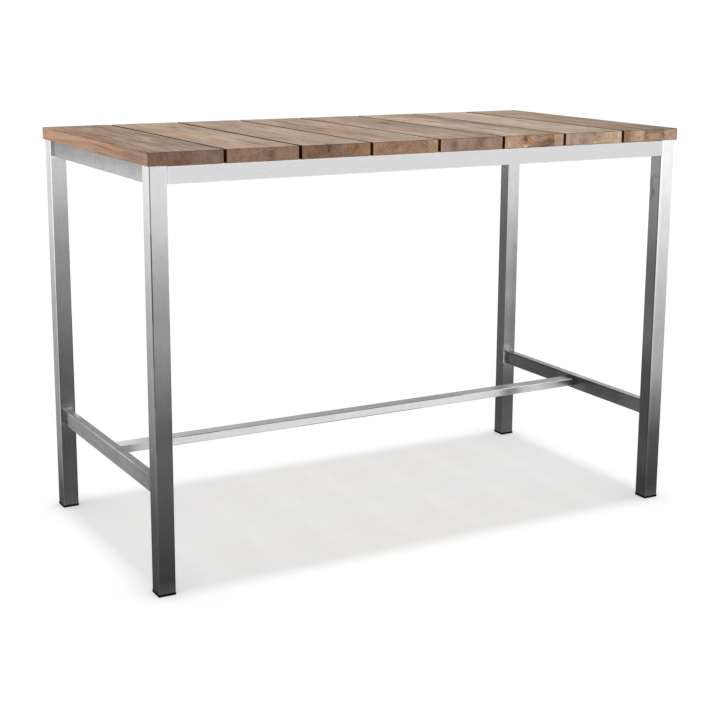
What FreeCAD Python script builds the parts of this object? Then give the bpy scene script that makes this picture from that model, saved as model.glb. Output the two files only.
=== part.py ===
# Outdoor bar table: eight teak boards laid across a welded frame of stainless-steel tube.
# Millimetres. X runs along the table, Y from front to back and Z up.
# The origin is on the floor, under the middle of the top.

import FreeCAD, Part
import os

Vector = FreeCAD.Vector
X_AXIS = Vector(1, 0, 0)
Y_AXIS = Vector(0, 1, 0)
Z_AXIS = Vector(0, 0, 1)

# Whole table
top_length = 1600.0
top_depth = 800.0
table_height = 1100.0

# Boards
board_count = 8
board_thickness = 33.0
board_gap = 8.0
board_edge_round = 1.2

# Frame tubes: the legs are square, the rails and stretchers share one flat section
leg_width = 45.0
rail_height = 44.0
rail_depth = 22.0
tube_wall = 1.5
tube_corner_round = 2.5

# Frame layout
top_overhang = 5.0
end_rail_inset = 6.0
stretcher_clearance = 250.0

# Foot caps: a flange under the leg and a ribbed plug up its bore
cap_height = 6.0
cap_overhang = 0.8
cap_edge_round = 1.5
plug_length = 24.0
plug_clearance = 1.8
plug_wall = 2.0
rib_count = 3
rib_thickness = 1.2
rib_clearance = 0.2

# Fixing strips inside the long rails
strip_width = 25.0
strip_thickness = 3.0
strip_drop = 5.0

# Board screws, driven upwards through the strips
screw_diameter = 4.8
screw_length = 30.0
screw_point = 5.0
screw_leg_distance = 11.5
screw_head_diameter = 9.6
screw_head_height = 3.0
screw_head_round = 1.2
recess_length = 5.0
recess_width = 1.2
recess_depth = 1.6
strip_hole_clearance = 0.4
pilot_clearance = 0.1
pilot_spare_depth = 2.0

# Cutting tools run past the faces they cut by this much
overrun = 5.0

# Places that follow from the sizes
frame_half_length = top_length / 2 - top_overhang
frame_half_depth = top_depth / 2 - top_overhang
leg_inner_x = frame_half_length - leg_width
leg_inner_y = frame_half_depth - leg_width
board_width = (top_length - board_gap * (board_count - 1)) / board_count
board_underside = table_height - board_thickness
rail_underside = board_underside - rail_height
strip_top = board_underside - strip_drop
strip_underside = strip_top - strip_thickness
strip_middle_y = frame_half_depth - rail_depth - strip_width / 2
leg_middle_x = frame_half_length - leg_width / 2
leg_middle_y = frame_half_depth - leg_width / 2
stretcher_inner_x = leg_middle_x - rail_depth / 2
leg_bore = leg_width - 2 * tube_wall
screw_inset = top_overhang + leg_width + screw_leg_distance


def block(low, high):
    """A box from its low corner to its high corner."""
    size = high - low
    return Part.makeBox(size.x, size.y, size.z, low)


def edges_along(shape, axis):
    """The straight edges of a shape that run along an axis."""
    found = []
    for edge in shape.Edges:
        run = edge.Vertexes[-1].Point - edge.Vertexes[0].Point
        if run.Length > 0 and abs(run.normalize().dot(axis)) > 0.999:
            found.append(edge)
    return found


def rounded_bar(low, high, axis, radius):
    """A box whose four edges along an axis are rounded."""
    bar = block(low, high)
    return bar.makeFillet(radius, edges_along(bar, axis))


def tube(low, high, axis):
    """A rectangular tube along an axis, open at both ends, with rounded corners outside and in."""
    across = Vector(1, 1, 1) - axis
    wall = across * tube_wall
    past = axis * overrun
    outside = rounded_bar(low, high, axis, tube_corner_round)
    inner_round = max(tube_corner_round - tube_wall, tube_wall / 3)
    bore = rounded_bar(low + wall - past, high - wall + past, axis, inner_round)
    return outside.cut(bore)


def board_middles():
    """The X of each board's middle, from left to right."""
    first = (board_width - top_length) / 2
    return [first + index * (board_width + board_gap) for index in range(board_count)]


def screw_places(side):
    """The X and Y of the screws at one long side of the table: -1 is the front, 1 the back.

    The inset from a board's long edges lets the outermost screws clear the legs.
    """
    places = []
    for middle in board_middles():
        for step in (-1, 1):
            across = board_width / 2 - screw_inset
            places.append(Vector(middle + step * across, side * strip_middle_y, 0))
    return places


def board(middle):
    """One board with eased edges and blind pilot holes for its screws in the underside."""
    low = Vector(middle - board_width / 2, -top_depth / 2, board_underside)
    high = Vector(middle + board_width / 2, top_depth / 2, table_height)
    wood = block(low, high)
    wood = wood.makeFillet(board_edge_round, wood.Edges)
    radius = screw_diameter / 2 + pilot_clearance
    reach = screw_length - strip_thickness - strip_drop + pilot_spare_depth
    for side in (-1, 1):
        for place in screw_places(side):
            if abs(place.x - middle) < board_width / 2:
                start = place + Z_AXIS * (board_underside - overrun)
                wood = wood.cut(Part.makeCylinder(radius, reach + overrun, start))
    return wood


def leg(side_x, side_y):
    """One leg: a square tube from its foot cap to the boards."""
    low_x = side_x * leg_middle_x - leg_width / 2
    low_y = side_y * leg_middle_y - leg_width / 2
    low = Vector(low_x, low_y, cap_height)
    high = Vector(low_x + leg_width, low_y + leg_width, board_underside)
    return tube(low, high, Z_AXIS)


def long_rail(side_y):
    """A rail between two legs along the table, flush with their outer faces."""
    middle_y = side_y * (frame_half_depth - rail_depth / 2)
    low = Vector(-leg_inner_x, middle_y - rail_depth / 2, rail_underside)
    high = Vector(leg_inner_x, middle_y + rail_depth / 2, board_underside)
    return tube(low, high, X_AXIS)


def end_rail(side_x):
    """A rail between two legs across the table, set back from their outer faces."""
    middle_x = side_x * (frame_half_length - end_rail_inset - rail_depth / 2)
    low = Vector(middle_x - rail_depth / 2, -leg_inner_y, rail_underside)
    high = Vector(middle_x + rail_depth / 2, leg_inner_y, board_underside)
    return tube(low, high, Y_AXIS)


def side_stretcher(side_x):
    """A tube on edge between a front and a back leg, centred on them."""
    middle_x = side_x * leg_middle_x
    low = Vector(middle_x - rail_depth / 2, -leg_inner_y, stretcher_clearance)
    high = Vector(middle_x + rail_depth / 2, leg_inner_y, stretcher_clearance + rail_height)
    return tube(low, high, Y_AXIS)


def centre_stretcher():
    """The footrest: the same tube laid flat between the side stretchers, at their mid height."""
    middle_z = stretcher_clearance + rail_height / 2
    low = Vector(-stretcher_inner_x, -rail_height / 2, middle_z - rail_depth / 2)
    high = Vector(stretcher_inner_x, rail_height / 2, middle_z + rail_depth / 2)
    return tube(low, high, X_AXIS)


def fixing_strip(side_y):
    """A flat bar between the legs on the inside of a long rail, with a hole for each screw."""
    middle_y = side_y * strip_middle_y
    low = Vector(-leg_inner_x, middle_y - strip_width / 2, strip_underside)
    high = Vector(leg_inner_x, middle_y + strip_width / 2, strip_top)
    strip = block(low, high)
    radius = screw_diameter / 2 + strip_hole_clearance
    depth = strip_thickness + 2 * overrun
    for place in screw_places(side_y):
        start = place + Z_AXIS * (strip_underside - overrun)
        strip = strip.cut(Part.makeCylinder(radius, depth, start))
    return strip


def cross_recess():
    """The crossed slots in a screw's head, cut upwards from the head's underside."""
    slots = []
    for wide, deep in ((recess_length, recess_width), (recess_width, recess_length)):
        low = Vector(-wide / 2, -deep / 2, -screw_head_height - overrun)
        high = Vector(wide / 2, deep / 2, recess_depth - screw_head_height)
        slots.append(block(low, high))
    return slots[0].fuse(slots[1])


def board_screw():
    """A pan-head wood screw pointing up, with the top of its head at Z zero."""
    head_radius = screw_head_diameter / 2
    head = Part.makeCylinder(head_radius, screw_head_height, Vector(0, 0, -screw_head_height))
    rims = [edge for edge in head.Edges if edge.BoundBox.ZMax < -screw_head_height / 2]
    head = head.makeFillet(screw_head_round, rims)
    straight = screw_length - screw_point
    shank = Part.makeCylinder(screw_diameter / 2, straight)
    point = Part.makeCone(screw_diameter / 2, 0, screw_point, Vector(0, 0, straight))
    return head.fuse([shank, point]).removeSplitter().cut(cross_recess())


def board_screws(side_y):
    """The screws along one long side, with their heads against the fixing strip."""
    screw = board_screw()
    placed = []
    for place in screw_places(side_y):
        placed.append(screw.translated(place + Z_AXIS * strip_underside))
    return Part.makeCompound(placed)


def square_plate(width, underside, thickness):
    """A level square plate with rounded corners, centred on the Z axis."""
    low = Vector(-width / 2, -width / 2, underside)
    high = Vector(width / 2, width / 2, underside + thickness)
    return rounded_bar(low, high, Z_AXIS, tube_corner_round)


def cap_flange():
    """The part of a foot cap under the leg, with its lower edge rounded."""
    flange = square_plate(leg_width + 2 * cap_overhang, 0, cap_height)
    lower = [edge for edge in flange.Edges if edge.BoundBox.ZMax < cap_height / 2]
    return flange.makeFillet(cap_edge_round, lower)


def cap_plug():
    """The hollow plug of a foot cap with its gripping ribs, which stay just clear of the bore."""
    plug_width = leg_bore - 2 * plug_clearance
    plug = square_plate(plug_width, cap_height, plug_length)
    rib_width = leg_bore - 2 * rib_clearance
    rib_step = plug_length / rib_count
    for index in range(rib_count):
        rib_underside = cap_height + (index + 1) * rib_step - rib_thickness
        plug = plug.fuse(square_plate(rib_width, rib_underside, rib_thickness))
    hollow = square_plate(plug_width - 2 * plug_wall, cap_height, plug_length + overrun)
    return plug.cut(hollow)


def foot_cap(side_x, side_y):
    """One foot cap in the bottom of a leg."""
    cap = cap_flange().fuse(cap_plug()).removeSplitter()
    return cap.translated(Vector(side_x * leg_middle_x, side_y * leg_middle_y, 0))


def table_parts():
    """Every sub-part's shape by name."""
    parts = {}
    for index, middle in enumerate(board_middles()):
        parts["board_%d" % (index + 1)] = board(middle)
    for row, side_y in (("front", -1), ("back", 1)):
        for end, side_x in (("left", -1), ("right", 1)):
            parts["leg_%s_%s" % (row, end)] = leg(side_x, side_y)
            parts["foot_cap_%s_%s" % (row, end)] = foot_cap(side_x, side_y)
        parts["%s_rail" % row] = long_rail(side_y)
        parts["%s_fixing_strip" % row] = fixing_strip(side_y)
        parts["%s_board_screws" % row] = board_screws(side_y)
    for end, side_x in (("left", -1), ("right", 1)):
        parts["%s_end_rail" % end] = end_rail(side_x)
        parts["%s_side_stretcher" % end] = side_stretcher(side_x)
    parts["centre_stretcher"] = centre_stretcher()
    return parts


os.makedirs("parts", exist_ok=True)
for name, shape in table_parts().items():
    shape.exportStep("parts/%s.step" % name)
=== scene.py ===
import math

import bpy
import numpy as np
from mathutils import Color, Matrix, Vector


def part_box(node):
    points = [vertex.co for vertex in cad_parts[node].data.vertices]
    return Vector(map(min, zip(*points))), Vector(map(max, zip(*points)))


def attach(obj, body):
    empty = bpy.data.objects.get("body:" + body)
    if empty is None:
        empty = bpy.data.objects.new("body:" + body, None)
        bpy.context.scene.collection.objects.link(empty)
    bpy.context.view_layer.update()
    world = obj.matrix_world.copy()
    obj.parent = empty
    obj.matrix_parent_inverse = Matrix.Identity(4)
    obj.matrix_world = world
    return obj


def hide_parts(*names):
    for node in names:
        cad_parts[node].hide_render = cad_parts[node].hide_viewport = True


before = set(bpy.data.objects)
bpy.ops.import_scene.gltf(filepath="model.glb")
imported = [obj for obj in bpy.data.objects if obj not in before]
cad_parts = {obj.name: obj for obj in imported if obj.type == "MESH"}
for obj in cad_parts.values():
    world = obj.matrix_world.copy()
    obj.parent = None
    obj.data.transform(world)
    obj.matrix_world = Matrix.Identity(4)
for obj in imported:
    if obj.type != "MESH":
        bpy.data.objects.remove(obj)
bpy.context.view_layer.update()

# The looks of an outdoor bar table: weathered teak boards on a frame of brushed stainless steel.
# Metres. X runs along the table, Y from front to back and Z up.
# Grey levels and colours are written as 0 to 255 screen values.

MM = 0.001
X, Y, Z = range(3)


# The look of each board

# One entry per board, from left to right. Places are shares of a board's width from its left edge, of
# its length from the front and of its thickness from its underside. Half sizes are in millimetres.
#   top, end: colours of the top and of the end grain: place across, red, green, blue
#   staves: glued strips: where each ends, its pith's place across and up, its ring spacing in
#       millimetres, and how strongly the rings show on the end grain
#   knots: place across, along and up, half sizes across, along and up, darkness
#   stains: soft patches on the end grain: place across and up, half sizes across and up, colour
#   shades: soft patches of tone on the top: place across and along, half sizes across and along, and
#       the colour's share there, as one value or as red, green and blue; the narrow ones along an edge
#       beside a gap are painted shade
#   figure: how strongly the grain shows on the top, 1 where it isn't given
#   flat: how much wider than high the rings are, 1 where it isn't given
BOARDS = [
    dict(
        top=[(0, 164, 134, 110), (0.16, 162, 136, 116), (0.3, 163, 141, 124), (1, 163, 142, 128)],
        end=[(0, 120, 94, 80), (0.55, 120, 95, 81), (0.75, 128, 106, 94), (1, 122, 99, 86)],
        staves=[(1, -2.6, -3, 5.5, 0.12)], knots=[(0.01, 0, 0.95, 1.6, 5, 1.6, 0.9)],
        shades=[(0.5, 0.08, 130, 170, (1, 1.06, 1.12)), (0.5, 0.92, 130, 170, (1, 0.96, 0.92))],
        figure=1.45,
    ),
    dict(
        top=[(0, 180, 157, 137), (0.6, 181, 159, 139), (1, 178, 157, 140)],
        end=[(0, 135, 107, 89), (0.6, 138, 111, 94), (1, 140, 113, 90)],
        staves=[(1, 0.66, -0.9, 7, 0.16)], knots=[(0.62, 0, 0.25, 6, 30, 9, 0.55)],
        # The narrow patch along its right edge is painted shade at the gap
        stains=[(0.6, 0.6, 9, 12, (124, 104, 93))], shades=[(1, 0.5, 2.2, 700, 0.6)], figure=0.67,
    ),
    dict(
        top=[(0, 178, 155, 134), (0.5, 179, 158, 139), (1, 177, 156, 139)],
        end=[(0, 124, 95, 79), (0.45, 122, 95, 81), (0.55, 134, 106, 87), (1, 142, 112, 88)],
        staves=[(1, 0.38, 1.15, 5.5, 0.16)],
        knots=[(0.39, 0, 0.85, 5, 25, 6, 0.75), (0.3, 0, 0.7, 3, 18, 5, 0.4)],
        stains=[(0.515, 0.8, 9, 12, (112, 98, 92)), (0.38, 0.55, 2.5, 4, (70, 52, 45))],
        # The narrow patch along its left edge is painted shade at the gap
        shades=[(0, 0.5, 4.5, 700, 0.4), (0.5, 0.5, 100, 150, 1.1)], figure=0.7,
    ),
    dict(
        top=[(0, 176, 153, 134), (0.4, 170, 148, 129), (0.7, 172, 151, 134), (1, 178, 155, 136)],
        end=[(0, 150, 118, 95), (0.5, 148, 115, 93), (0.75, 150, 121, 101), (1, 162, 131, 104)],
        staves=[(1, 0.45, -2.2, 9, 0.16)],
        knots=[(0.34, 0, 0.62, 5, 22, 4, 0.45), (0.55, 0, 0.5, 4, 20, 4, 0.35)],
        shades=[(0.5, 0.08, 130, 170, (1.02, 1.05, 1.07))], figure=0.9,
    ),
    dict(
        top=[(0, 175, 155, 138), (0.45, 174, 153, 135), (0.6, 168, 146, 128), (1, 168, 146, 127)],
        end=[(0, 157, 131, 115), (0.3, 153, 128, 114), (0.6, 143, 119, 106), (1, 158, 132, 112)],
        staves=[(0.52, -1.4, 1.6, 6, 0.12), (1, 2.3, -1.3, 5, 0.12)],
        knots=[
            (0.67, 0.637, 1, 7, 26, 5, 1.15), (0.22, 0, 0.5, 7, 25, 7, 0.55),
            (0.63, 0, 0.6, 10, 25, 10, 0.45),
        ],
        shades=[(0.66, 0.6, 48, 90, 0.9)], figure=0.85,
    ),
    dict(
        top=[
            (0, 193, 174, 155), (0.34, 199, 181, 163), (0.38, 177, 159, 143), (0.7, 174, 156, 140),
            (0.79, 172, 153, 136), (0.795, 160, 140, 122), (1, 160, 140, 122),
        ],
        end=[
            (0, 172, 143, 119), (0.2, 178, 149, 125), (0.28, 171, 142, 117), (0.34, 152, 120, 95),
            (0.44, 156, 122, 97), (0.55, 140, 114, 94), (0.66, 126, 104, 91), (0.76, 121, 97, 82),
            (0.83, 136, 107, 87), (0.845, 178, 149, 127), (1, 182, 153, 130),
        ],
        staves=[(0.31, 0.62, 1.1, 7.5, 0.32), (0.84, 0.62, 1.1, 12, 0.3), (1, 2.5, 0.4, 5, 0.15)],
        flat=1.6, knots=[(0.9, 0.45, 1, 9, 55, 4, 0.4)],
        stains=[
            (0.34, 0.72, 8, 8, (108, 84, 70)), (0.43, 0.42, 12, 8, (174, 132, 97)),
            (0.36, 0.08, 8, 5, (206, 182, 156)), (0.58, 0.82, 32, 11, (170, 140, 111)),
            (0.77, 0.82, 9, 7, (168, 130, 102)), (0.62, 0.66, 8, 8, (142, 135, 128)),
        ],
    ),
    dict(
        top=[
            (0, 183, 165, 149), (0.35, 187, 169, 153), (0.48, 182, 164, 148), (0.55, 186, 168, 151),
            (0.93, 190, 172, 154), (1, 188, 169, 149),
        ],
        end=[
            (0, 178, 151, 134), (0.2, 170, 145, 131), (0.4, 168, 142, 128), (0.45, 168, 144, 124),
            (0.53, 174, 149, 127), (0.58, 181, 157, 135), (0.84, 180, 155, 132), (0.9, 170, 145, 123),
            (0.93, 196, 171, 147), (1, 190, 165, 141),
        ],
        staves=[(0.5, -3, 0.8, 6, 0.15), (0.9, 0.78, -2.9, 9, 0.2), (1, -0.4, 2, 5, 0.2)],
        knots=[(0.5, 0, 0.9, 2, 15, 3, 0.4)],
        stains=[
            (0.5, 0.88, 12, 5, (162, 132, 120)), (0.53, 0.1, 6, 5, (198, 177, 153)),
            (0.91, 0.1, 10, 6, (204, 176, 158)), (0.8, 0.6, 18, 5, (192, 167, 141)),
        ],
        shades=[(0.5, 0.82, 95, 120, 1.07), (0.5, 0.5, 110, 130, (1, 1.02, 1.06))], figure=0.65,
    ),
    dict(
        top=[
            (0, 150, 126, 104), (0.07, 160, 136, 114), (0.2, 172, 149, 126), (0.36, 172, 150, 128),
            (0.42, 156, 137, 121), (1, 156, 137, 121),
        ],
        end=[
            (0, 150, 116, 93), (0.11, 150, 117, 94), (0.14, 172, 142, 116), (0.3, 176, 147, 122),
            (0.365, 186, 156, 130), (0.385, 148, 124, 106), (0.43, 148, 124, 105), (0.46, 158, 132, 109),
            (0.6, 160, 135, 112), (0.74, 156, 130, 108), (0.77, 170, 143, 122), (0.96, 178, 149, 127),
            (1, 160, 131, 110),
        ],
        staves=[(0.38, -0.9, 2.4, 8, 0.22), (0.762, 0.56, -1.6, 11, 0.25), (1, 0.9, -3, 6, 0.22)],
        knots=[(0.27, 0, 0.45, 3, 20, 4, 0.25)],
        stains=[
            (0.6, 1, 36, 12, (122, 100, 86)), (0.73, 0.55, 5, 6, (116, 94, 80)),
            (0.52, 0.36, 9, 5, (176, 145, 113)), (0.65, 0.38, 9, 5, (174, 146, 118)),
            (0.24, 0.55, 11, 5, (194, 166, 138)), (0.29, 0.3, 6, 5, (160, 126, 114)),
            (0.95, 0.85, 6, 6, (178, 140, 108)),
        ],
        shades=[(0.62, 0.08, 120, 130, 0.83), (0.5, 0.5, 120, 120, 0.93), (0.4, 0.85, 110, 150, 1.15)],
        figure=0.85,
    ),
]


# The shape of a board

# The lattice of a board's skin: its steps across, along and up, the finer places inside each edge, and
# the places on both sides of a groove's middle line
LATTICE_STEPS = (3.4 * MM, 4.6 * MM, 2.4 * MM)
EDGE_PLACES = np.array([0, 0.25, 0.55, 0.9, 1.3, 1.8, 2.6]) * MM
GROOVE_PLACES = np.array([-1.1, -0.5, 0, 0.5, 1.1]) * MM

# The arrises: their radius, the share of it that wear adds or takes, the waves of wear per metre round
# and along the board, and the width of the strip that gets dirty
ARRIS_RADIUS = 1.2 * MM
WEAR_SHARE = 0.3
LONG_WEAR = (9, 14)
SHORT_WEAR = (30, 60)
ARRIS_WIDTH = 2.4 * MM

# Widths and lengths of the ridges of the grain, and the size of the pits in the ends
GRAIN_RIDGES = (3.1 * MM, 130 * MM)
BROAD_RIDGES = (14 * MM, 300 * MM)
PIT_SIZE = 2.4 * MM

# Depths in millimetres, and half widths of the grooves
GRAIN_DEPTH = 0.09
BROAD_DEPTH = 0.05
PIT_DEPTH = 0.1
SEAM_DEPTH = 0.35
SEAM_HALF_WIDTH = 0.55 * MM
CHECK_DEPTH = 0.7
CHECK_HALF_WIDTH = 0.45 * MM

# Drying checks: how many a board has, between which shares of its width they lie, and their shortest
# and longest length in millimetres
CHECK_COUNT = 5
CHECK_SHARES = (0.08, 0.92)
CHECK_LENGTHS = (12, 45)

# Each random table's seed, added to the board's number
SEEDS = {"long wear": 0, "short wear": 40, "grain": 80, "broad": 90, "pits": 95, "checks": 100}


def smooth_noise(u, v, seed, size=64):
    """Noise from -1 to 1: random values at the whole places of u and v, smoothly blended between them."""
    table = np.random.default_rng(seed).uniform(-1, 1, (size, size))
    a, b = np.floor(u).astype(int), np.floor(v).astype(int)
    s, t = u - a, v - b
    s, t = s * s * (3 - 2 * s), t * t * (3 - 2 * t)
    near = table[a % size, b % size] * (1 - s) + table[(a + 1) % size, b % size] * s
    far = table[a % size, (b + 1) % size] * (1 - s) + table[(a + 1) % size, (b + 1) % size] * s
    return near * (1 - t) + far * t


def spaced(low, high, step, extra=()):
    """Lattice places from low to high: fine ones near both ends, even steps between, and the extras."""
    count = max(2, round((high - low) / step))
    steps = np.linspace(low + EDGE_PLACES[-1], high - EDGE_PLACES[-1], count)
    places = np.concatenate([low + EDGE_PLACES, steps, high - EDGE_PLACES, np.ravel(extra)])
    return np.unique(np.round(places, decimals=7))


def closed_skin(xs, ys, zs):
    """The outside of the lattice xs by ys by zs: each point on it once, and its outward squares."""
    count = (len(xs), len(ys), len(zs))
    number = np.arange(np.prod(count)).reshape(count)
    sheets = (
        number[:, :, -1], number[::-1, :, 0], number[:, 0, :],
        number[:, -1, :].T, number[-1, :, :], number[0, :, :].T,
    )
    squares = [
        np.stack([s[:-1, :-1], s[1:, :-1], s[1:, 1:], s[:-1, 1:]], -1).reshape(-1, 4) for s in sheets
    ]
    used, squares = np.unique(np.concatenate(squares), return_inverse=True)
    i, j, k = np.unravel_index(used, count)
    return np.stack([xs[i], ys[j], zs[k]], -1), squares.reshape(-1, 4)


def new_object(name, data):
    """A new object, at the origin."""
    made = bpy.data.objects.new(name, data)
    bpy.context.scene.collection.objects.link(made)
    return made


def mesh_piece(name, points, squares, material, **attributes):
    """An object with the given mesh, smooth faces, a material and per-point attributes."""
    mesh = bpy.data.meshes.new(name)
    mesh.from_pydata(points.tolist(), [], squares.tolist())
    mesh.polygons.foreach_set("use_smooth", np.ones(len(squares), bool))
    for key, values in attributes.items():
        mesh.attributes.new(key, "FLOAT", "POINT").data.foreach_set("value", values.astype(np.float32))
    mesh.materials.append(material)
    mesh.update()
    return new_object(name, mesh)


def drying_checks(index, low, high):
    """The cracks in the ends of a board: the place of each across it, its end and its length."""
    rng = np.random.default_rng(SEEDS["checks"] + index)
    places = low[X] + (high[X] - low[X]) * rng.uniform(*CHECK_SHARES, CHECK_COUNT)
    ends = rng.choice([-1, 1], CHECK_COUNT)
    lengths = rng.uniform(*CHECK_LENGTHS, CHECK_COUNT) * MM
    return list(zip(places, ends, lengths))


def worn_radius(index, lattice):
    """The arris radius beside each point: an even radius with long and short waves of wear."""
    x, y, z = lattice.T
    worn = smooth_noise((x + z) * LONG_WEAR[0] + index, y * LONG_WEAR[1], index + SEEDS["long wear"])
    worn += smooth_noise((x + z) * SHORT_WEAR[0], y * SHORT_WEAR[1], index + SEEDS["short wear"])
    return ARRIS_RADIUS * (1 + WEAR_SHARE * worn)


def bell(distance, half_width):
    """The share of a groove's depth at a distance from its middle line: a bell curve."""
    return np.exp(-((distance / half_width) ** 2))


def relief(index, lattice, out, low, high, seams, checks):
    """How far the skin sinks at each point, in millimetres. The long faces have the ridges of the grain,
    and the ends have pits, each by the square of how the skin faces. A seam is an even groove, and a
    check a groove that is deepest at its end of the board and at the top."""
    x, y, z = lattice.T
    grain = smooth_noise((x + z) / GRAIN_RIDGES[0], y / GRAIN_RIDGES[1], index + SEEDS["grain"])
    broad = smooth_noise((x + z) / BROAD_RIDGES[0], y / BROAD_RIDGES[1], index + SEEDS["broad"])
    pits = smooth_noise(x / PIT_SIZE, z / PIT_SIZE, index + SEEDS["pits"])
    ends = out[:, Y] ** 2
    ridges = GRAIN_DEPTH * (1 + grain) + BROAD_DEPTH * (1 + broad)
    sink = (1 - ends) * ridges + ends * PIT_DEPTH * (1 + pits)
    sides = out[:, X] ** 2
    for seam in seams:
        sink += SEAM_DEPTH * (1 - sides) * bell(x - seam, SEAM_HALF_WIDTH)
    for place, end, length in checks:
        from_end = (high[Y] - y) if end > 0 else (y - low[Y])
        taper = np.clip(1 - from_end / length, 0, 1) * np.clip((z - low[Z]) / (high[Z] - low[Z]), 0, 1)
        sink += CHECK_DEPTH * (1 - sides) * taper * bell(x - place, CHECK_HALF_WIDTH)
    return sink


def board_piece(index, look, material):
    """One teak board. A block's skin is eased at its arrises: a point lies one radius, less the relief,
    from the nearest point of a smaller block inside, and the radius wanders where the arris is worn."""
    low, high = np.array(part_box("board_%d" % index))
    seams = [low[X] + stave[0] * (high[X] - low[X]) for stave in look["staves"][:-1]]
    checks = drying_checks(index, low, high)
    grooves = np.array(seams + [place for place, _, _ in checks])
    lattice, squares = closed_skin(
        spaced(low[X], high[X], LATTICE_STEPS[X], np.add.outer(grooves, GROOVE_PLACES)),
        spaced(low[Y], high[Y], LATTICE_STEPS[Y]),
        spaced(low[Z], high[Z], LATTICE_STEPS[Z]),
    )
    radius = worn_radius(index, lattice)[:, None]
    inner = np.clip(lattice, low + radius, high - radius)
    out = lattice - inner
    out /= np.linalg.norm(out, axis=1, keepdims=True)
    sink = relief(index, lattice, out, low, high, seams, checks)
    points = inner + out * (radius - sink[:, None] * MM)
    from_edge = np.sort(np.minimum(lattice - low, high - lattice), axis=1)[:, 1]
    arris = np.clip(1 - from_edge / ARRIS_WIDTH, 0, 1)
    from_side = np.minimum(lattice[:, X] - low[X], high[X] - lattice[:, X])
    long_arris = arris * np.clip(1 - from_side / ARRIS_WIDTH, 0, 1)
    piece = mesh_piece(f"teak_board_{index}", points, squares, material, arris=arris, long_arris=long_arris)
    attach(piece, "root")
    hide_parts("board_%d" % index)


# Colours and nodes

# The values that noise mostly stays between, and the strength of its finer octaves
NOISE_SPAN = (0.3, 0.7)
NOISE_ROUGHNESS = 0.55

# Where a soft patch and a knot begin and where they are full, as shares of their half sizes
PATCH_EDGE = (1.35, 0.65)
KNOT_EDGE = (2.6, 0.2)


def paint(red, green, blue):
    """A screen colour, 0 to 255, as the shader's own light values."""
    light = Color((red / 255, green / 255, blue / 255)).from_srgb_to_scene_linear()
    return (*light, 1.0)


def painted(stops):
    """Places with screen colours, as places with light values."""
    return [(place, paint(*colour)) for place, *colour in stops]


def grey(level):
    """A screen grey, 0 to 255, as the shader's own light values."""
    return paint(level, level, level)


def even(light):
    """The same light in red, green and blue."""
    return (light, light, light, 1.0)


class Nodes:
    """Shader nodes of a finish or of the sky. Inputs that are sockets are linked, and others are set."""

    def __init__(self, owner):
        owner.use_nodes = True
        self.tree = owner.node_tree
        self.tree.nodes.clear()

    def add(self, kind, inputs=None, **settings):
        """A node of a kind, with its settings, and its inputs by name or number."""
        made = self.tree.nodes.new("ShaderNode" + kind)
        for key, value in settings.items():
            setattr(made, key, value)
        for key, value in (inputs or {}).items():
            if isinstance(value, bpy.types.NodeSocket):
                self.tree.links.new(value, made.inputs[key])
            else:
                made.inputs[key].default_value = value
        return made

    def math(self, operation, *values, clamp=False):
        """A sum worked out on numbers."""
        inputs = dict(enumerate(values))
        return self.add("Math", inputs, operation=operation, use_clamp=clamp).outputs[0]

    def vector(self, operation, *values):
        """A sum worked out on vectors. A length is a number."""
        made = self.add("VectorMath", dict(enumerate(values)), operation=operation)
        return made.outputs["Value" if operation == "LENGTH" else "Vector"]

    def split(self, vector):
        """The three numbers in a vector."""
        return tuple(self.add("SeparateXYZ", {0: vector}).outputs)

    def join(self, *numbers):
        """A vector of three numbers."""
        return self.add("CombineXYZ", dict(enumerate(numbers))).outputs[0]

    def span(self, value, low, high, to_low=0.0, to_high=1.0, smooth=False):
        """A value carried from one span to another, and held at its ends."""
        inputs = {0: value, 1: low, 2: high, 3: to_low, 4: to_high}
        kind = "SMOOTHSTEP" if smooth else "LINEAR"
        return self.add("MapRange", inputs, interpolation_type=kind).outputs[0]

    def mix(self, share, first, second, blend="MIX"):
        """Two colours mixed. A Mix node's colours are its inputs 6 and 7 and its output 2."""
        inputs = {0: share, 6: first, 7: second}
        return self.add("Mix", inputs, data_type="RGBA", blend_type=blend).outputs[2]

    def times(self, colour, light):
        """A colour multiplied by another or by light."""
        return self.mix(1.0, colour, light, "MULTIPLY")

    def ramp(self, share, stops, interpolation="LINEAR"):
        """A colour by share, from stops of a rising place and a colour. A new ramp has two stops."""
        made = self.add("ValToRGB", {0: share})
        ramp = made.color_ramp
        ramp.interpolation = interpolation
        for _ in stops[2:]:
            ramp.elements.new(1.0)
        if len(stops) == 1:
            ramp.elements.remove(ramp.elements[1])
        for element, (place, value) in zip(ramp.elements, stops):
            element.position = place
            element.color = value
        return made.outputs[0]


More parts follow.
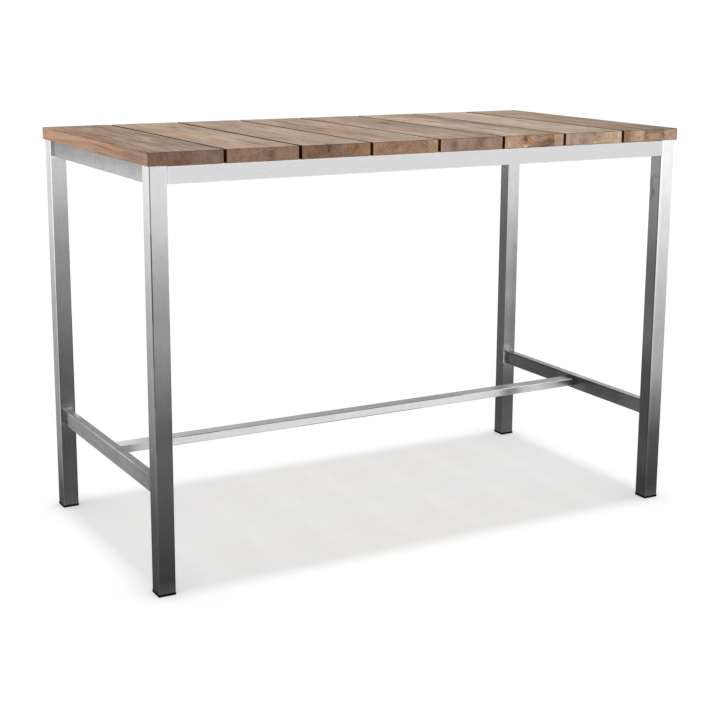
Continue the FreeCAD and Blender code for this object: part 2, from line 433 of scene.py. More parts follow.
class Finish(Nodes):
    """A material whose patterns follow the object's own places. Its shift moves the noise."""

    def __init__(self, name, shift=(0, 0, 0)):
        self.material = bpy.data.materials.new(name)
        super().__init__(self.material)
        self.shift = shift
        self.place = self.add("TexCoord").outputs["Object"]
        self.normal = self.add("NewGeometry").outputs["Normal"]
        self.face_x, self.face_y, self.face_z = self.split(self.vector("ABSOLUTE", self.normal))

    def stretch(self, scale, shift, place=None):
        """A point's place, scaled along each axis and then shifted."""
        inputs = {"Vector": place or self.place, "Scale": scale, "Location": shift}
        return self.add("Mapping", inputs).outputs[0]

    def noise(self, pattern, shift=None, place=None, output="Fac"):
        """Noise from 0 to 1, by its repeats per metre along each axis and its octaves."""
        *repeats, octaves = pattern
        where = self.stretch(repeats, shift or self.shift, place)
        inputs = {"Vector": where, "Scale": 1.0, "Detail": octaves, "Roughness": NOISE_ROUGHNESS}
        return self.add("TexNoise", inputs).outputs[output]

    def bent(self, pattern, reach):
        """A point's place, moved along each axis by noise of the given reach."""
        noise = self.vector("SUBTRACT", self.noise(pattern, output="Color"), (0.5, 0.5, 0.5))
        return self.vector("ADD", self.place, self.vector("MULTIPLY", noise, reach))

    def apart(self, low, high):
        """How far a point is outside a box."""
        middle, half = (low + high) / 2, (high - low) / 2
        offset = self.vector("ABSOLUTE", self.vector("SUBTRACT", self.place, tuple(middle)))
        offset = self.vector("MAXIMUM", self.vector("SUBTRACT", offset, tuple(half)), (0, 0, 0))
        return self.vector("LENGTH", offset)

    def oval(self, centre, halves, place=None, edge=PATCH_EDGE):
        """How far inside a soft oval a point is, from 0 outside to 1 within. Half sizes are in
        millimetres, and the oval is endless along an axis whose half size is 0."""
        scale = np.array([1 / (half * MM) if half else 0.0 for half in halves])
        offset = self.stretch(tuple(scale), tuple(-centre * scale), place)
        return self.span(self.vector("LENGTH", offset), *edge, smooth=True)

    def shade(self, colour, roughness, height, depth, uniform):
        """The surface shader, with a bump of the given depth, and uniform values on its own sockets."""
        bump = self.add("Bump", {"Height": height, "Distance": depth})
        inputs = {"Base Color": colour, "Roughness": roughness, "Normal": bump.outputs[0], **uniform}
        shader = self.add("BsdfPrincipled", inputs)
        self.add("OutputMaterial", {"Surface": shader.outputs[0]})
        return self.material


# Weathered teak

# The side of a board in a gap, a dark brown that is partly the bare wood and partly painted shade, and
# the outer side of the first and last boards, by place along
GAP_BROWN_AND_SHADE = paint(66, 38, 22)
OUTER_SIDE = [
    (0, 161, 129, 110), (0.17, 154, 124, 104), (0.34, 180, 144, 122), (0.5, 174, 140, 116),
    (1, 181, 149, 123),
]

# Knots, the dirt on the arrises of the ends, and the brown on the long edges, which is partly dirt and
# partly painted shade at the gaps, with their greatest shares
KNOT_BROWN = paint(74, 50, 38)
END_DIRT = paint(70, 48, 38)
DARK_SHARE = 0.85
LONG_DIRT_AND_GAP_SHADE = paint(100, 62, 36)
LONG_DIRT_AND_GAP_SHADE_SHARE = 0.35
DIRT_SPAN = (0.4, 0.65)
STAIN_SHARE = 0.8

# What the weathering multiplies a colour by, from dark brown through no change to pale
LONG_TONES = [(0, (0.46, 0.36, 0.29, 1)), (0.5, (1, 1, 0.98, 1)), (1, (1.42, 1.44, 1.45, 1))]
END_TONES = [(0, (0.4, 0.31, 0.26, 1)), (0.5, (1, 1, 1, 1)), (1, (1.5, 1.46, 1.38, 1))]
HUES = [(0.3, (0.97, 1, 1.04, 1)), (0.5, (1, 1, 1, 1)), (0.7, (1.05, 0.97, 0.91, 1))]

# How far the skin turns to an axis where a side or an end begins and where it is full
SIDE_FACE = (0.6, 0.85)
END_FACE = (0.55, 0.8)
GAP_SIDE_TURN = 0.3

# The furthest pith, in board widths or thicknesses, and the widest ring spacing, in millimetres. A
# stave's own go through a colour ramp as shares of these.
PITH_REACH = 6
RING_REACH = 15

# Greys of the late wood through one ring, how far a knot pushes the rings aside, and by how many rings
# their ripple moves them
LATE_WOOD = [(0, grey(70)), (0.1, grey(0)), (0.45, grey(90)), (0.85, grey(255)), (1, grey(70))]
KNOT_PUSH = 6 * MM
RIPPLE_TURNS = 0.7

# Noise in the wood: its repeats per metre across, along and up the board, and its octaves
WOOD_NOISE = {
    "ripple": (90, 6, 90, 2),
    "patches": (16, 4.5, 16, 2),
    "broad streaks": (48, 1.8, 48, 3),
    "streaks": (140, 7, 140, 3),
    "dashes": (380, 11, 380, 3),
    "pores": (800, 45, 800, 1),
    "blotches": (32, 32, 32, 2),
    "mottle": (110, 110, 110, 3),
    "rays": (330, 60, 110, 2),
    "dirt": (45, 45, 45, 3),
}
HUE_NOISE = (13, 2.2, 13, 2)
PORE_SPAN = (0.56, 0.7)
PITH_WANDER = (5, 1.3, 5, 2)
WANDER_REACH = (30 * MM, 0, 30 * MM)
SMUDGE = (75, 75, 75, 3)
SMUDGE_REACH = (22 * MM, 0, 12 * MM)

# Noise that changes from ring to ring, and only slowly along one: its repeats per ring and per metre
LAYER_NOISE = (1, 1, 1, 2)
LAYERS_PER_RING = 1.1
LAYERS_PER_METRE = 20

# Tones: the starting value, then what late wood and pores add, and how far each noise swings the tone
LONG_TONE = 0.69
LATE_WOOD_TONE = -0.5
PORE_TONE = -0.35
LONG_SWINGS = {"patches": 0.9, "broad streaks": 0.8, "streaks": 1.1, "dashes": 1.5}
SIDE_FIGURE = 0.5
END_TONE = 0.52
END_LATE_WOOD = 0.34
END_SWINGS = {"blotches": 0.75, "mottle": 0.65, "rays": 0.3, "layers": 0.6}

# The fine relief that the light shows, its depth, and the roughness and gloss of bare wood
LATE_WOOD_RELIEF = -0.5
RELIEF_SWINGS = {"dashes": 0.6, "streaks": 0.6, "pores": -0.4}
RELIEF_DEPTH = 0.35 * MM
WOOD_ROUGHNESS = (0.68, 0.84)
WOOD_GLOSS = 0.05

# How far the noise moves from one board to the next, along each axis
BOARD_SHIFT = (3.7, 1.9, 5.3)


class WeatheredTeak(Finish):
    """The finish of one board. Growth rings are cylinders round each stave's pith, which runs along the
    board and wanders, so that the same rings make arcs on the end grain and long lines on the top."""

    def __init__(self, index, look):
        super().__init__(f"weathered_teak_{index}", tuple(index * step for step in BOARD_SHIFT))
        self.index = index
        self.look = look
        self.low, self.high = np.array(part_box("board_%d" % index))
        self.x, self.y, self.z = self.split(self.place)
        self.across = self.span(self.x, self.low[X], self.high[X])
        self.noises = {name: self.noise(pattern) for name, pattern in WOOD_NOISE.items()}
        self.noises["pores"] = self.span(self.noises["pores"], *PORE_SPAN)

    def at(self, across, along, up):
        """The point at the given shares of the board's width, length and thickness."""
        return self.low + (self.high - self.low) * (across, along, up)

    def swung(self, tone, swings):
        """A tone moved by each named noise, by its swing times its distance from the middle."""
        for name, swing in swings.items():
            tone = self.math("MULTIPLY_ADD", self.math("SUBTRACT", self.noises[name], 0.5), swing, tone)
        return tone

    def knots(self):
        """How near a point is to the knots, and how dark they make the wood there."""
        near_knots = stain = 0.0
        for across, along, up, half_x, half_y, half_z, dark in self.look["knots"]:
            near = self.oval(self.at(across, along, up), (half_x, half_y, half_z), edge=KNOT_EDGE)
            near_knots = self.math("ADD", near_knots, near)
            stain = self.math("MULTIPLY_ADD", near, dark, stain)
        return near_knots, stain

    def pith(self):
        """The pith's X and Z, the ring spacing and the rings' strength of a point's own stave."""
        stops = []
        start = 0.0
        for stop, pith_across, pith_up, spacing, strength in self.look["staves"]:
            place = (0.5 + pith_across / PITH_REACH / 2, 0.5 + pith_up / PITH_REACH / 2)
            stops.append((start, (*place, spacing / RING_REACH, strength)))
            start = stop
        stave = self.ramp(self.across, stops, "CONSTANT")
        pith_across, pith_up, spacing = self.split(stave)
        reach = PITH_REACH * (self.high - self.low)
        pith_x = self.span(pith_across, 0, 1, self.low[X] - reach[X], self.low[X] + reach[X])
        pith_z = self.span(pith_up, 0, 1, self.low[Z] - reach[Z], self.low[Z] + reach[Z])
        spacing = self.math("MULTIPLY", spacing, RING_REACH * MM)
        return pith_x, pith_z, spacing, stave.node.outputs["Alpha"]

    def rings(self, near_knots, pith_x, pith_z, spacing):
        """The number of rings out from the pith, and the noise that changes from ring to ring. Knots
        push the rings aside, and a ripple moves them."""
        bent_x, _, bent_z = self.split(self.bent(PITH_WANDER, WANDER_REACH))
        offset_x = self.math("SUBTRACT", bent_x, pith_x)
        offset_z = self.math("SUBTRACT", bent_z, pith_z)
        offset_z = self.math("MULTIPLY", offset_z, self.look.get("flat", 1.0))
        reach = self.math("MULTIPLY", offset_x, offset_x)
        reach = self.math("SQRT", self.math("MULTIPLY_ADD", offset_z, offset_z, reach))
        reach = self.math("MULTIPLY_ADD", near_knots, KNOT_PUSH, reach)
        turns = self.math("DIVIDE", reach, spacing)
        turns = self.math("MULTIPLY_ADD", self.noises["ripple"], RIPPLE_TURNS, turns)
        layers = self.join(
            self.math("MULTIPLY", turns, LAYERS_PER_RING),
            self.math("MULTIPLY", bent_x, LAYERS_PER_METRE),
            self.math("MULTIPLY", bent_z, LAYERS_PER_METRE),
        )
        return turns, self.noise(LAYER_NOISE, place=layers)

    def side_colour(self):
        """The brown of a side in a gap, partly painted shade. The first and last boards have a weathered
        outer side too.
        """
        if 1 < self.index < len(BOARDS):
            return GAP_BROWN_AND_SHADE
        turn = GAP_SIDE_TURN if self.index == 1 else -GAP_SIDE_TURN
        normal_x = self.split(self.normal)[X]
        outer = self.ramp(self.span(self.y, self.low[Y], self.high[Y]), painted(OUTER_SIDE))
        return self.mix(self.span(normal_x, -turn, turn), outer, GAP_BROWN_AND_SHADE)

    def long_faces(self, late_wood):
        """The colour of the top and sides: patches, streaks along the grain from broad to fine, pores,
        and the board's own shades, of which the narrow ones beside the gaps are painted shade."""
        side_face = self.span(self.face_x, *SIDE_FACE)
        top = self.ramp(self.across, painted(self.look["top"]))
        colour = self.mix(side_face, top, self.side_colour())
        tone = self.math("MULTIPLY_ADD", late_wood, LATE_WOOD_TONE, LONG_TONE)
        tone = self.math("MULTIPLY_ADD", self.noises["pores"], PORE_TONE, tone)
        tone = self.swung(tone, LONG_SWINGS)
        figure = self.span(side_face, 0.0, 1.0, self.look.get("figure", 1.0), SIDE_FIGURE)
        tone = self.math("MULTIPLY_ADD", self.math("SUBTRACT", tone, 0.5), figure, 0.5)
        colour = self.times(colour, self.ramp(tone, LONG_TONES))
        for across, along, half_x, half_y, share in self.look.get("shades", ()):
            near = self.oval(self.at(across, along, 0), (half_x, half_y, 0))
            tint = (*np.broadcast_to(share, 3).tolist(), 1.0)
            colour = self.mix(near, colour, self.times(colour, tint))
        hue = self.noise(HUE_NOISE, shift=self.shift[2:] + self.shift[:2])
        return self.times(colour, self.ramp(hue, HUES))

    def end_grain(self, late_wood, strength):
        """The colour of the ends: rings that each have their own tone, soft blotches, fine upright rays
        and stains."""
        colour = self.ramp(self.across, painted(self.look["end"]))
        smudged = self.bent(SMUDGE, SMUDGE_REACH)
        for across, up, half_x, half_z, tint in self.look.get("stains", ()):
            near = self.oval(self.at(across, 0, up), (half_x, 0, half_z), smudged)
            colour = self.mix(self.math("MULTIPLY", near, STAIN_SHARE), colour, paint(*tint))
        early_wood = self.math("SUBTRACT", END_LATE_WOOD, late_wood)
        tone = self.math("MULTIPLY_ADD", early_wood, strength, END_TONE)
        return self.times(colour, self.ramp(self.swung(tone, END_SWINGS), END_TONES))

    def soiled_and_gap_shaded(self, colour, stain):
        """A colour with its knots, with dirt on the upper arrises of the ends and, here and there, a brown
        on the long arrises that is partly dirt and partly painted shade at the gaps."""
        arris = self.add("Attribute", attribute_name="arris").outputs["Fac"]
        long_arris = self.add("Attribute", attribute_name="long_arris").outputs["Fac"]
        upper = self.span(self.z, (self.low[Z] + self.high[Z]) / 2, self.high[Z])
        end_arris = self.math("MULTIPLY", self.math("SUBTRACT", arris, long_arris, clamp=True), upper)
        dirt = self.span(self.noises["dirt"], *DIRT_SPAN, 0.0, LONG_DIRT_AND_GAP_SHADE_SHARE)
        colour = self.mix(self.math("MULTIPLY", stain, DARK_SHARE, clamp=True), colour, KNOT_BROWN)
        colour = self.mix(self.math("MULTIPLY", end_arris, DARK_SHARE), colour, END_DIRT)
        # Brown on the long arrises, here and there: partly dirt and partly painted shade at the gaps
        return self.mix(self.math("MULTIPLY", long_arris, dirt), colour, LONG_DIRT_AND_GAP_SHADE)

    def finished(self):
        """The material."""
        near_knots, stain = self.knots()
        pith_x, pith_z, spacing, strength = self.pith()
        turns, self.noises["layers"] = self.rings(near_knots, pith_x, pith_z, spacing)
        late_wood = self.ramp(self.math("FRACT", turns), LATE_WOOD)
        end_face = self.span(self.face_y, *END_FACE)
        colour = self.mix(end_face, self.long_faces(late_wood), self.end_grain(late_wood, strength))
        height = self.swung(self.math("MULTIPLY", late_wood, LATE_WOOD_RELIEF), RELIEF_SWINGS)
        rough = self.span(self.noises["streaks"], *NOISE_SPAN, *WOOD_ROUGHNESS)
        gloss = {"Specular IOR Level": WOOD_GLOSS}
        return self.shade(self.soiled_and_gap_shaded(colour, stain), rough, height, RELIEF_DEPTH, gloss)


# Brushed stainless steel

# The greys of the steel are stops of a place along the piece, in millimetres from the table's origin,
# and a level. They are painted reflections, highlights and shade: the legs darken towards the floor, and
# each face has its own grey. These are shared by several pieces.
HIDDEN_LEG_FACE = [(0, 58), (200, 76), (500, 94), (850, 118), (1067, 145)]
FRONT_LEG_OUTSIDE = [
    (0, 57), (200, 80), (350, 117), (400, 136), (600, 171), (750, 196), (850, 218), (1067, 252),
]
BACK_LEG_OUTSIDE = [(0, 58), (60, 72), (100, 106), (200, 148), (600, 188), (850, 234), (1067, 250)]
END_RAIL = dict(
    axis=Y, cloud=0.07, front=[(0, 150)], top=[(0, 130)],
    outer=[(-350, 209), (0, 204), (350, 188)], inner=[(0, 130)],
)
FIXING_STRIP = dict(axis=X, cloud=0.1, front=[(0, 165)])

# Each steel piece: the axis it runs along, how cloudy its finish is, and its greys by the way a face
# looks, which are painted reflections, highlights and shade. Outer faces look away from the middle of the
# table and inner ones towards it, top stands for the faces up and down, and front for every other face.
STEEL = {
    "leg_front_left": dict(
        axis=Z, cloud=0.04, outer=FRONT_LEG_OUTSIDE, inner=HIDDEN_LEG_FACE,
        front=[
            (6, 78), (40, 58), (200, 76), (350, 92), (400, 90), (450, 98), (600, 135), (650, 147),
            (700, 146), (750, 153), (850, 180), (950, 207), (1000, 216), (1067, 216),
        ],
    ),
    "leg_back_left": dict(
        axis=Z, cloud=0.05, outer=BACK_LEG_OUTSIDE, inner=HIDDEN_LEG_FACE,
        front=[
            (6, 96), (40, 87), (100, 88), (200, 82), (320, 100), (450, 99), (600, 125), (750, 141),
            (850, 162), (1000, 206), (1067, 212),
        ],
    ),
    "leg_front_right": dict(
        axis=Z, cloud=0.04, outer=FRONT_LEG_OUTSIDE,
        front=[
            (6, 84), (40, 64), (200, 80), (310, 124), (400, 164), (500, 172), (600, 184), (850, 222),
            (1000, 239), (1067, 245),
        ],
        inner=[
            (6, 72), (50, 65), (120, 84), (200, 80), (320, 74), (400, 84), (500, 101), (600, 96),
            (700, 98), (850, 127), (1067, 158),
        ],
    ),
    "leg_back_right": dict(
        axis=Z, cloud=0.05, outer=BACK_LEG_OUTSIDE,
        front=[
            (6, 96), (50, 90), (120, 84), (200, 92), (300, 134), (400, 130), (490, 154), (550, 148),
            (600, 162), (700, 175), (850, 206), (1067, 222),
        ],
        inner=[(6, 82), (50, 74), (120, 72), (200, 80), (400, 91), (700, 94), (850, 111), (1067, 140)],
    ),
    "front_rail": dict(axis=X, cloud=0.01, front=[(0, 213)], top=[(0, 150)]),
    "back_rail": dict(axis=X, cloud=0.05, front=[(0, 190)], top=[(0, 150)]),
    "left_end_rail": END_RAIL,
    "right_end_rail": END_RAIL,
    "left_side_stretcher": dict(
        axis=Y, cloud=0.12, front=[(0, 130)], inner=[(0, 86)],
        outer=[(-350, 116), (-300, 136), (-150, 152), (0, 155), (350, 150)],
        top=[(-350, 116), (-250, 150), (0, 155), (240, 165), (275, 215), (310, 255), (350, 250)],
    ),
    "right_side_stretcher": dict(
        axis=Y, cloud=0.08, front=[(0, 130)], outer=[(0, 152)],
        inner=[(-350, 98), (-300, 92), (-230, 80), (-100, 76), (100, 72), (350, 85)],
        top=[(-350, 182), (0, 178), (290, 178), (330, 225), (350, 250)],
    ),
    "centre_stretcher": dict(
        axis=X, cloud=0.05,
        front=[
            (-761, 136), (-725, 145), (-707, 176), (-690, 192), (-600, 213), (470, 222), (500, 165),
            (530, 165), (560, 216), (612, 216), (650, 196), (690, 186), (720, 152), (761, 102),
        ],
        top=[
            (-761, 238), (-720, 238), (-680, 218), (-560, 203), (-300, 189), (0, 178), (250, 171),
            (480, 203), (495, 255), (530, 255), (548, 205), (580, 184), (640, 184), (700, 176),
            (761, 126),
        ],
    ),
    "front_fixing_strip": FIXING_STRIP,
    "back_fixing_strip": FIXING_STRIP,
}

# Painted highlights, reflections and shade on the steel, as lighter and darker lines and patches: a
# box from and to, in millimetres from the low corner of the piece's box, the softness of its edge, and
# the light's share within it. A box that starts below 0 or ends past the piece's size takes in the face
# there.
PAINTED_LIGHT_MARKS = {
    "leg_front_left": [
        ((42.8, -1, 1017), (46, 3, 1061), 0.4, 2.2), ((-1, -1, 370), (2.3, 1.8, 1061), 0.5, 0.8),
        ((-1, -1, 480), (2.3, 1.8, 1061), 0.5, 0.55), ((-1, -1, 580), (2.3, 1.8, 1061), 0.5, 0.6),
        ((-1, -1, 690), (2.3, 1.8, 900), 0.5, 0.45), ((42.8, -1, -1), (46, 3, 520), 0.5, 0.35),
        ((42.8, -1, 520), (46, 3, 690), 0.5, 0.55), ((-1, 42, -1), (3, 46, 130), 0.5, 0.55),
        ((-1, 1.5, 0), (0.6, 12, 1061), 4, 1.05),
    ],
    "leg_back_left": [
        ((-1, 0, 0), (0.6, 5, 1061), 2, 1.2), ((1, -1, 1017), (4, 0.6, 1061), 0.8, 0.45),
        ((11, -1, 287), (34, 0.6, 300), 12, 1.4), ((8, -1, 289), (34, 0.6, 292), 3, 1.6),
        ((3, -1, 289), (10, 0.6, 299), 4, 1.25), ((1, -1, 246), (8, 0.6, 278), 2, 1.45),
        ((9, -1, 246), (11.5, 0.6, 284), 1, 2.2), ((1, -1, 20), (4, 0.6, 660), 12, 0.92),
        ((42.8, -1, -1), (46, 3, 560), 0.5, 0.32), ((-1, 42, -1), (3, 46, 160), 0.5, 0.5),
    ],
    "leg_back_right": [
        ((0.5, -1, 248), (12, 0.6, 284), 2, 2.7), ((3, -1, 248), (8, 0.6, 284), 2, 1.35),
        ((-1, -1, 293), (15, 0.6, 303), 14, 1.65), ((30, -1, 300), (46, 0.6, 650), 14, 0.84),
    ],
    "left_end_rail": [((-1, -1, 42), (1, 701, 46), 38, 0.7)],
    "leg_front_right": [
        ((-1, 1.5, 0), (0.6, 6, 1061), 1, 0.75), ((0.6, -1, 0), (6, 0.6, 1061), 1.5, 1.15),
        ((42.8, -1, -1), (46, 3, 300), 0.5, 0.35), ((42.8, -1, 300), (46, 3, 560), 0.5, 0.65),
        ((-1, 42.5, 844), (3, 46, 1011), 0.5, 0.75), ((-1, 26, 902), (0.6, 33, 920), 6, 0.62),
        ((-1, 33, 886), (0.6, 38, 896), 5, 0.78), ((-1, 33, 928), (0.6, 38, 952), 5, 0.72),
        ((-1, 12, 954), (0.6, 28, 960), 4, 0.82), ((-1, -1, 1017), (1.6, 0.6, 1061), 0.6, 0.5),
    ],
    "front_rail": [
        ((0, -1, 40.5), (1500, 0.6, 44), 1, 1.14), ((-1, -1, -1), (6, 0.6, 45), 1, 1.04),
        ((-1, -1, -1), (0.2, 2.5, 45), 0.3, 1.35), ((1494, -1, -1), (1501, 0.6, 45), 1, 0.93),
    ],
    "left_side_stretcher": [((-1, 150, 41), (1.5, 560, 45), 1, 1.35)],
    "right_side_stretcher": [
        ((-1, 378, 10), (1, 385, 34), 45, 1.25), ((-1, 290, 10), (1, 325, 34), 30, 1.6),
        ((15, 0, 43.2), (23, 340, 45), 1.5, 1.35), ((-1, 0, 38), (0.6, 700, 44), 2, 0.72),
        ((-1, 0, -1), (0.6, 500, 8), 22, 1.12),
    ],
    "centre_stretcher": [
        ((1505, -1, -1), (1523, 45, 23), 45, 1.7), ((0, -1, -1), (1523, 0.6, 1.8), 0.5, 0.62),
        ((180, 0.8, 21.4), (1100, 4, 23), 0.8, 0.5), ((165, 0.8, 21.2), (300, 4.4, 23), 0.8, 0.55),
        ((540, -1, -1), (960, 1.4, 2.4), 0.5, 0.42),
    ],
}

# Half of the light near a weld, by the distance from the other piece as a share of the joint's reach.
# Beside the pieces that are set back from the legs' faces it is painted light, lighter near the joint
# with a lighter outline, which lifts the shade and dark reflections in the corner; flush joints get a
# thin darker seam and a lighter band.
JOINT_REACH = 10 * MM
INSET_JOINT_PAINTED_LIGHT = [(0, 0.7), (0.34, 0.55), (0.42, 0.66), (0.56, 0.6), (0.75, 0.5)]
FLUSH_JOINT = [(0, 0.47), (0.08, 0.485), (0.12, 0.515), (0.5, 0.515), (0.9, 0.5)]
WELD_GAP = 0.1 * MM

# How far the skin turns to an axis where a face begins and where it is full, how flat it is where a
# rounded corner begins and where it is full, and the painted highlight that lightens rounded corners
FACE_TURN = (0.5, 0.9)
CORNER_TURN = (0.97, 0.8)
CORNER_PAINTED_HIGHLIGHT = even(1.7)

# Brush marks and bands: their repeats per metre along and across the piece, and their octaves
BRUSH_MARKS = (8, 900, 3)
BRUSH_BANDS = (2.5, 160, 2)
CLOUDS = (16, 16, 16, 3)
SWIRLS = (60, 60, 60, 4)

# How far the brush marks swing the light on clear steel and how much more with clouding, and the same
# for their depth in millimetres
CLEAR_SWING = 0.015
CLOUDED_SWING = 0.8
CLEAR_DEPTH = 0.005
CLOUDED_DEPTH = 0.22

# The satin's roughness, what clouds add to it, and the grey of the steel seen edge-on
SATIN_ROUGHNESS = (0.2, 0.3)
CLOUD_ROUGHNESS = 0.06
EDGE_ON_TINT = grey(195)

# The last three letters of a piece's name shift its noise
LETTER_STEP = 0.37


class BrushedSteel(Finish):
    """The finish of one tube or bar. Noise drawn out along it makes the brush marks and soft noise the
    clouds. Its greys are painted reflections, highlights and shade, and so are its marks. Rounded corners
    get a painted highlight line, and each weld changes the light near it: a thin dark seam and a lighter
    band at a flush joint, and painted light that lifts the shade in the corner beside a set-back piece."""

    def __init__(self, node, look):
        shift = tuple(LETTER_STEP * (ord(letter) - ord("Z")) for letter in node[-3:])
        super().__init__("steel_" + node, shift)
        self.node = node
        self.look = look
        self.low, self.high = np.array(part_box(node))
        axis = look["axis"]
        self.start, self.end = self.low[axis], self.high[axis]
        self.along = self.span(self.split(self.place)[axis], self.start, self.end)

    def tone(self, way):
        """The greys of the faces that look one way, by place along the piece: painted reflections and
        shade.
        """
        length = self.end - self.start
        stops = [((place * MM - self.start) / length, grey(level)) for place, level in self.look[way]]
        return self.ramp(self.along, stops)

    def faces(self):
        """The greys of all faces: painted reflections, highlights and shade."""
        colour = self.tone("front")
        if "outer" in self.look:
            normal_x = self.split(self.normal)[X]
            outward = 1.0 if self.low[X] + self.high[X] > 0 else -1.0
            for way, turn in (("outer", outward), ("inner", -outward)):
                facing = self.span(self.math("MULTIPLY", normal_x, turn), *FACE_TURN)
                colour = self.mix(facing, colour, self.tone(way))
        if "top" in self.look:
            colour = self.mix(self.span(self.face_z, *FACE_TURN), colour, self.tone("top"))
        return colour

    def drawn(self, along, across, octaves):
        """Noise drawn out along the piece."""
        repeats = [across, across, across]
        repeats[self.look["axis"]] = along
        return self.noise((*repeats, octaves))

    def painted_light_at_welds(self, light):
        """Light changed near each weld, where another steel piece's box touches: painted light in the
        corner beside a set-back piece, and a thin seam and lighter band at a flush joint.
        """
        for other in STEEL:
            low, high = np.array(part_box(other))
            if other == self.node or max(*(low - self.high), *(self.low - high)) > WELD_GAP:
                continue
            reach = self.math("DIVIDE", self.apart(low, high), JOINT_REACH)
            # Beside a set-back piece, the light near the weld is painted light that lifts the shade in the
            # corner
            inset = self.node.startswith("leg") and other.endswith(("end_rail", "side_stretcher"))
            stops = [(place, even(half)) for place, half in (INSET_JOINT_PAINTED_LIGHT if inset else FLUSH_JOINT)]
            light = self.math("MULTIPLY", light, self.math("MULTIPLY", self.ramp(reach, stops), 2.0))
        return light

    def with_painted_marks(self, light):
        """Painted highlights, reflections and shade within each of the piece's marks."""
        for low, high, soft, share in PAINTED_LIGHT_MARKS.get(self.node, ()):
            apart = self.apart(self.low + np.array(low) * MM, self.low + np.array(high) * MM)
            light = self.math("MULTIPLY", light, self.span(apart, 0.0, soft * MM, share, 1.0))
        return light

    def finished(self):
        """The material."""
        cloud = self.look["cloud"]
        marks = self.drawn(*BRUSH_MARKS)
        bands = self.drawn(*BRUSH_BANDS)
        clouds = self.noise(CLOUDS)
        swirls = self.noise(SWIRLS)
        brushed = CLEAR_SWING + CLOUDED_SWING * cloud
        light = 1.0
        for noise, swing in ((marks, brushed), (bands, cloud / 2), (clouds, cloud), (swirls, cloud / 2)):
            light = self.math("MULTIPLY", light, self.span(noise, *NOISE_SPAN, 1 - swing, 1 + swing))
        # Painted light near the welds, and painted highlights, reflections and shade in the marks
        light = self.with_painted_marks(self.painted_light_at_welds(light))
        colour = self.times(self.faces(), self.join(light, light, light))
        # Rounded corners get a painted highlight
        flattest = self.math("MAXIMUM", self.face_x, self.math("MAXIMUM", self.face_y, self.face_z))
        colour = self.mix(self.span(flattest, *CORNER_TURN), colour, self.times(colour, CORNER_PAINTED_HIGHLIGHT))
        satin = self.span(marks, *NOISE_SPAN, *SATIN_ROUGHNESS)
        rough = self.math("ADD", satin, self.span(clouds, *NOISE_SPAN, 0.0, CLOUD_ROUGHNESS))
        depth = (CLEAR_DEPTH + CLOUDED_DEPTH * cloud) * MM
        metal = {"Metallic": 1.0, "Specular Tint": EDGE_ON_TINT}
        return self.shade(colour, rough, self.math("ADD", marks, bands), depth, metal)


# Black plastic and bright screw steel

# Colours clean and worn, the noises of grain and wear, the span over which wear shows, how high above
# the floor it reaches on plastic, the roughness by the grain, and the grain's depth
PLASTIC = dict(
    colours=(paint(5, 5, 5), paint(30, 29, 28)), grain=(1400, 1400, 1400, 2), grain_shift=(0, 0, 0),
    wear=(220, 220, 600, 4), wear_shift=(2, 5, 1), wear_span=(0.55, 0.7), wear_height=3 * MM,
    roughness=(0.55, 0.67), depth=0.05 * MM, surface={"Specular IOR Level": 0.03},
)
SCREW_STEEL = dict(
    colours=(grey(205), paint(158, 155, 150)), grain=(900, 60, 900, 3), grain_shift=(1, 2, 3),
    wear=(120, 120, 120, 3), wear_shift=(4, 2, 3), wear_span=(0.4, 0.7),
    roughness=(0.22, 0.4), depth=0.03 * MM, surface={"Metallic": 1.0},
)


def small_finish(name, look):
    """A finish with a fine grain, and with wear that mixes in another colour."""
    finish = Finish(name, look["grain_shift"])
    grain = finish.noise(look["grain"])
    worn = finish.span(finish.noise(look["wear"], shift=look["wear_shift"]), *look["wear_span"])
    if "wear_height" in look:
        z = finish.split(finish.place)[Z]
        worn = finish.math("MULTIPLY", worn, finish.span(z, look["wear_height"], 0.0))
    colour = finish.mix(worn, *look["colours"])
    rough = finish.span(grain, *NOISE_SPAN, *look["roughness"])
    return finish.shade(colour, rough, grain, look["depth"], look["surface"])


def dress(node, material):
    """Gives a CAD node its finish."""
    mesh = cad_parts[node].data
    mesh.materials.clear()
    mesh.materials.append(material)


# The studio

FLOOR_SIZE = 60
FLOOR_GREY = 0.74
FLOOR_GLOW = 0.352

# The sky's light overhead and at the horizon, how fast it falls between them, and the background's
# white where it is seen
ZENITH_LEVEL = 0.3
HORIZON_LEVEL = 3.0
SKY_FALL = 2.5
SEEN_WHITE = 1.02

# The overhead lamp's light, its spread in degrees and the height of its marker
SUN_LEVEL = 0.3
SUN_SPREAD = 4.6
SUN_HEIGHT = 4

# The camera's place, and its yaw, pitch and roll in degrees
CAMERA_PLACE = (-2.010, -3.550, 1.435)
CAMERA_ANGLES = (60.57, 11.88, 0.34)


def seen_share(nodes):
    """1 for rays that show the background: from the camera, off gloss or through glass."""
    path = nodes.add("LightPath")
    seen = nodes.math("MAXIMUM", path.outputs["Is Camera Ray"], path.outputs["Is Glossy Ray"])
    return nodes.math("MAXIMUM", seen, path.outputs["Is Transmission Ray"])


def lay_floor():
    """A pale floor that glows enough to look white where it is lit and keeps the table's shadow."""
    half = FLOOR_SIZE / 2
    corners = [(-half, -half, 0), (half, -half, 0), (half, half, 0), (-half, half, 0)]
    mesh = bpy.data.meshes.new("floor")
    mesh.from_pydata(corners, [], [(0, 1, 2, 3)])
    floor = new_object("floor", mesh)
    material = bpy.data.materials.new("pale_floor")
    nodes = Nodes(material)
    matt = nodes.add("BsdfDiffuse", {"Color": even(FLOOR_GREY)})
    strength = nodes.math("MULTIPLY", seen_share(nodes), FLOOR_GLOW)
    glow = nodes.add("Emission", {"Color": even(1.0), "Strength": strength})
    both = nodes.add("AddShader", {0: matt.outputs[0], 1: glow.outputs[0]})
    nodes.add("OutputMaterial", {"Surface": both.outputs[0]})
    mesh.materials.append(material)


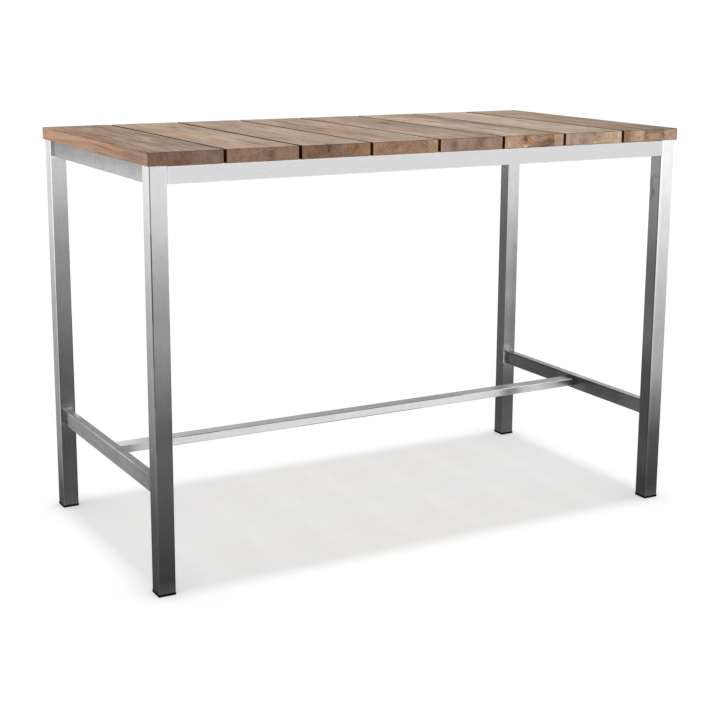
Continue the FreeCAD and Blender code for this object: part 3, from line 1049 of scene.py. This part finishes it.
def light_world():
    """White where it is seen, and for lighting a soft sky all round that brightens towards the horizon:
    the zenith's level plus the rest times a power of one less the direction's height."""
    world = bpy.data.worlds.new("studio")
    bpy.context.scene.world = world
    sky = Nodes(world)
    height = sky.split(sky.add("TexCoord").outputs["Generated"])[Z]
    lowness = sky.math("SUBTRACT", 1.0, sky.math("MAXIMUM", height, 0.0))
    rest = sky.math("POWER", lowness, SKY_FALL)
    light = sky.math("MULTIPLY_ADD", rest, HORIZON_LEVEL - ZENITH_LEVEL, ZENITH_LEVEL)
    # A Mix node's numbers are its inputs 2 and 3
    level = sky.add("Mix", {0: seen_share(sky), 2: light, 3: SEEN_WHITE}, data_type="FLOAT").outputs[0]
    background = sky.add("Background", {"Color": even(1.0), "Strength": level})
    sky.add("OutputWorld", {"Surface": background.outputs[0]})


def hang_lamp():
    """The main light: straight above and far away, a few degrees wide."""
    lamp = bpy.data.lights.new("overhead", "SUN")
    lamp.energy = SUN_LEVEL * math.pi
    lamp.angle = math.radians(SUN_SPREAD)
    new_object("overhead", lamp).location = (0, 0, SUN_HEIGHT)


def place_camera():
    """The camera at the photograph's angle."""
    yaw, pitch, roll = (math.radians(angle) for angle in CAMERA_ANGLES)
    forward = Vector((math.cos(yaw) * math.cos(pitch), math.sin(yaw) * math.cos(pitch), -math.sin(pitch)))
    level = Vector((math.sin(yaw), -math.cos(yaw), 0))
    upward = level.cross(forward)
    right = level * math.cos(roll) + upward * math.sin(roll)
    up = upward * math.cos(roll) - level * math.sin(roll)
    camera = bpy.data.cameras.new("camera")
    camera.lens = 72.2
    camera.sensor_width = 36.0
    camera.shift_y = -0.07
    camera.clip_end = 200
    turn = Matrix((right, up, -forward)).transposed().to_4x4()
    holder = new_object("camera", camera)
    holder.matrix_world = Matrix.Translation(CAMERA_PLACE) @ turn
    bpy.context.scene.camera = holder


# The table in its studio

for index, look in enumerate(BOARDS, 1):
    board_piece(index, look, WeatheredTeak(index, look).finished())
for node, look in STEEL.items():
    dress(node, BrushedSteel(node, look).finished())
plastic = small_finish("black_plastic", PLASTIC)
screws = small_finish("bright_screw_steel", SCREW_STEEL)
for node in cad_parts:
    if node.startswith("foot_cap"):
        dress(node, plastic)
    if node.endswith("board_screws"):
        dress(node, screws)

lay_floor()
light_world()
hang_lamp()
place_camera()
bpy.context.scene.view_settings.view_transform = "Standard"
